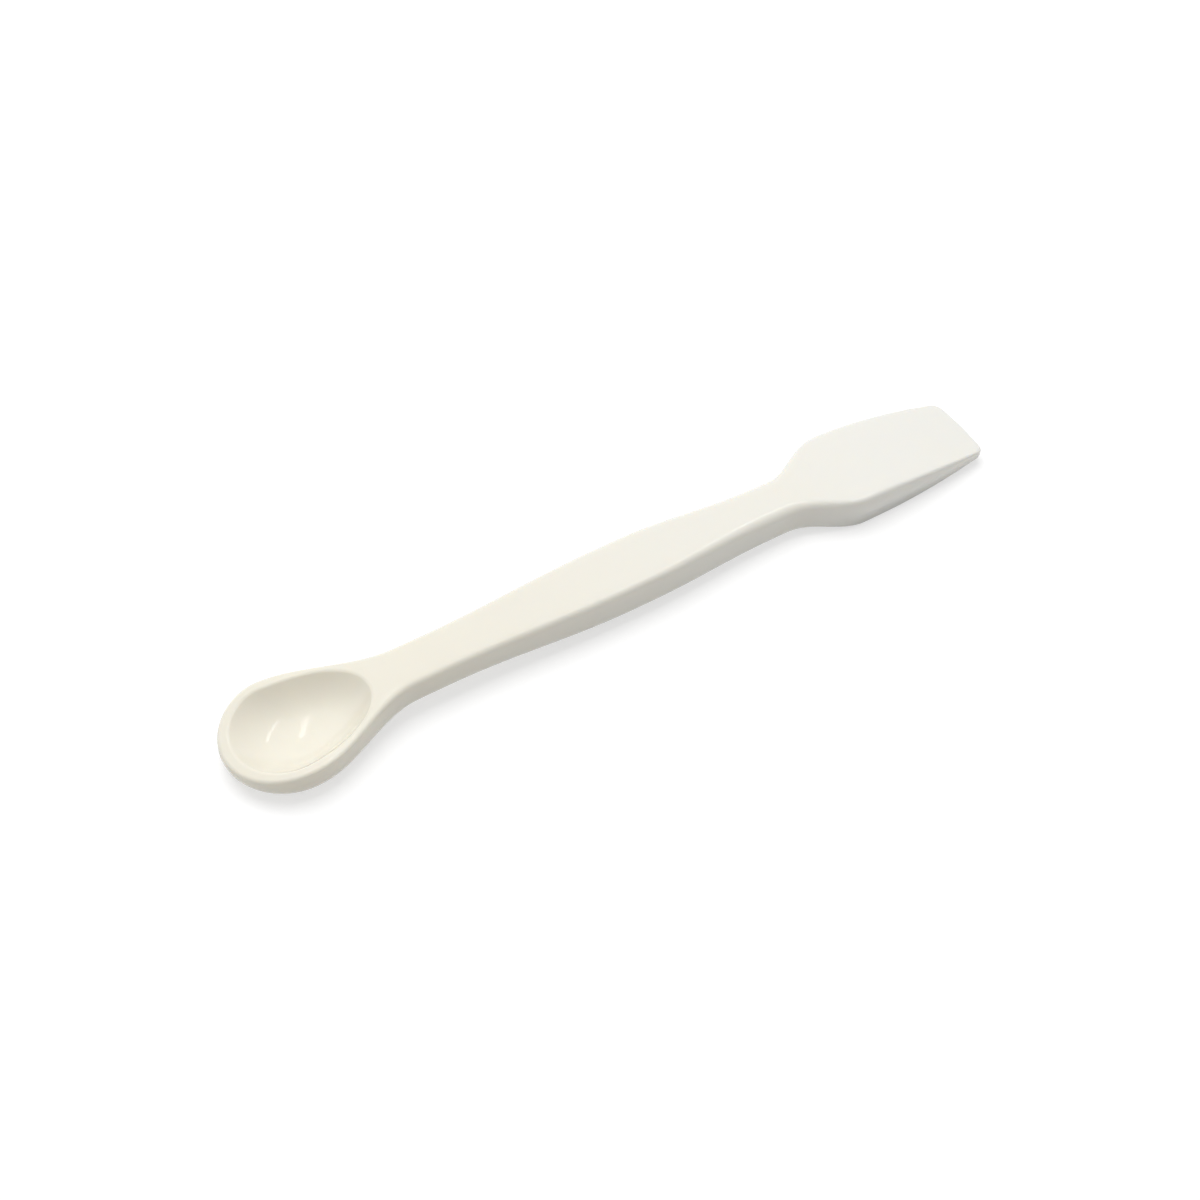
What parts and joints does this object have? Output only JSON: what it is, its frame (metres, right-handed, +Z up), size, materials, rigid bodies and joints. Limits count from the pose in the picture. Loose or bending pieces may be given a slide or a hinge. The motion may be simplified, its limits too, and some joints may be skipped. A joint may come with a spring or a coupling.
{
  "type": "lab spatula",
  "caption": "Glazed porcelain lab spatula: a round scoop bowl, a waisted flat handle and a wedge blade that thins to a straight tip.",
  "frame": {"origin": "middle of the length, on the surface that the spatula stands on", "axes": "+X along the handle from the bowl to the blade's tip, +Y across the width, +Z up out of the bowl's mouth"},
  "size_m": [0.15, 0.0224, 0.0081],
  "materials": {
    "glazed_porcelain": "clear gloss glaze on warm white porcelain"
  },
  "bodies": {
    "root": {"spatula": "glazed_porcelain"}
  },
  "joints": []
}
